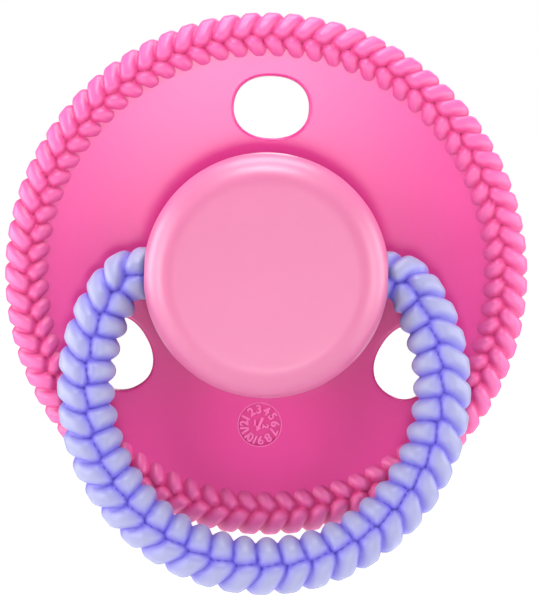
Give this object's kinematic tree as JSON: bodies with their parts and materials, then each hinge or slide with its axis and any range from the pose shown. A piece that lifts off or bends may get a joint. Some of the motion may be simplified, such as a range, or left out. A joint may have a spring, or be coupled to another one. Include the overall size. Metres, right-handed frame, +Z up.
{
  "type": "pacifier",
  "caption": "Round baby pacifier: dished shield with a plaited rim and vent holes, a round knob, a swinging plaited ring handle and a hollow cherry-shaped teat.",
  "frame": {"origin": "centre of the knob's flat front face, on the hub axis", "axes": "-Y out of the knob's front face, +Y towards the teat's tip, +Z up, opposite to the hanging ring; the ring's pivot axis runs along X"},
  "size_m": [0.0452, 0.0382, 0.0494],
  "materials": {
    "shield_pink": "moulded polypropylene, satin gloss",
    "knob_pink": "moulded polypropylene, smooth gloss",
    "ring_periwinkle": "moulded polypropylene, satin gloss",
    "plug_white": "natural polypropylene, matt",
    "teat_silicone": "clear silicone rubber, smooth"
  },
  "bodies": {
    "pacifier": {"shield": "shield_pink", "knob_cap": "knob_pink", "retaining_plug": "plug_white", "teat": "teat_silicone"},
    "ring": {"ring_handle": "ring_periwinkle"}
  },
  "joints": [
    {"name": "ring_swing", "type": "hinge", "parent": "pacifier", "child": "ring", "pos_m": [0, 0.0046, 0], "axis": [-1, 0, 0], "range_deg": [0, 171]}
  ]
}
